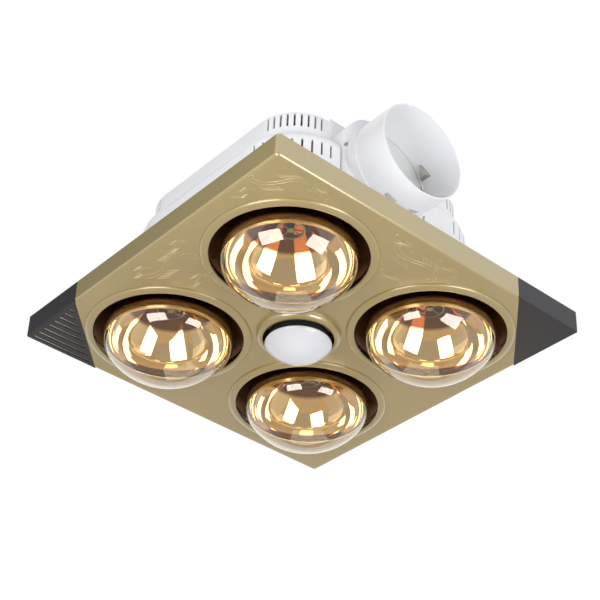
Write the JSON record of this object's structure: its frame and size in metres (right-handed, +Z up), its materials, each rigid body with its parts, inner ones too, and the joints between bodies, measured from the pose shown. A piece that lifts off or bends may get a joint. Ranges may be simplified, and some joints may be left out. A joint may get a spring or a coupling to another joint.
{
  "type": "bathroom heat lamp",
  "caption": "Square ceiling panel with reflector heat lamps, a domed centre light and an exhaust fan in a tiered housing with a round duct collar.",
  "frame": {"origin": "middle of the unit on the ceiling's underside, at the top of the panel's rim", "axes": "+Z up into the ceiling space, +X the way the exhaust duct leaves"},
  "size_m": [0.3775, 0.375, 0.2315],
  "materials": {
    "gold_enamel": "satin",
    "charcoal_plastic": "fine matt grain",
    "opal_plastic": "opal",
    "black_plastic": "matt",
    "circuit_board": "smooth",
    "white_plastic": "semi-gloss moulded",
    "fan_plastic": "moulded",
    "grey_plastic": "moulded",
    "block_plastic": "moulded",
    "capacitor_case": "moulded",
    "motor_paint": "satin",
    "zinc_steel": "zinc plated",
    "spring_steel": "bright",
    "dark_steel": "heat-proof black",
    "lamp_glass": "clear face, mirrored gold behind",
    "brass": "rolled",
    "tungsten": "drawn wire",
    "holder_ceramic": "unglazed"
  },
  "bodies": {
    "unit": {"fascia_panel": "gold_enamel", "corner_grille_left": "charcoal_plastic", "corner_cover_right": "charcoal_plastic", "light_diffuser": "opal_plastic", "light_cup": "black_plastic", "light_board": "circuit_board", "housing_tray": "white_plastic", "housing_box": "white_plastic", "foot_screws": "zinc_steel", "fan_scroll": "white_plastic", "scroll_cover": "white_plastic", "fan_motor": "motor_paint", "motor_plate": "zinc_steel", "motor_screws": "zinc_steel", "duct_collar": "white_plastic", "damper_pin": "zinc_steel", "terminal_box": "white_plastic", "terminal_cover": "white_plastic", "terminal_block": "block_plastic", "cable_gland": "grey_plastic", "run_capacitor": "capacitor_case", "thermal_cutout": "black_plastic", "fascia_clips": "spring_steel", "lamp_bezel_1": "gold_enamel", "lamp_glass_1": "lamp_glass", "lamp_cap_1": "brass", "lamp_filament_1": "tungsten", "lamp_holder_1": "holder_ceramic", "holder_bracket_1": "zinc_steel", "lamp_shroud_1": "dark_steel", "lamp_bezel_2": "gold_enamel", "lamp_glass_2": "lamp_glass", "lamp_cap_2": "brass", "lamp_filament_2": "tungsten", "lamp_holder_2": "holder_ceramic", "holder_bracket_2": "zinc_steel", "lamp_shroud_2": "dark_steel", "lamp_bezel_3": "gold_enamel", "lamp_glass_3": "lamp_glass", "lamp_cap_3": "brass", "lamp_filament_3": "tungsten", "lamp_holder_3": "holder_ceramic", "holder_bracket_3": "zinc_steel", "lamp_shroud_3": "dark_steel", "lamp_bezel_4": "gold_enamel", "lamp_glass_4": "lamp_glass", "lamp_cap_4": "brass", "lamp_filament_4": "tungsten", "lamp_holder_4": "holder_ceramic", "holder_bracket_4": "zinc_steel", "lamp_shroud_4": "dark_steel"},
    "rotor": {"fan_wheel": "fan_plastic", "motor_shaft": "zinc_steel", "wheel_nut": "zinc_steel"},
    "flap": {"damper_flap": "grey_plastic"}
  },
  "joints": [
    {"name": "fan_spin", "type": "hinge", "parent": "unit", "child": "rotor", "pos_m": [0, 0.019, 0.1], "axis": [0, 0, 1], "continuous": true},
    {"name": "damper_hinge", "type": "hinge", "parent": "unit", "child": "flap", "pos_m": [0.14, -0.0205, 0.0875], "axis": [0, -1, 0], "range_deg": [0, 60]}
  ]
}
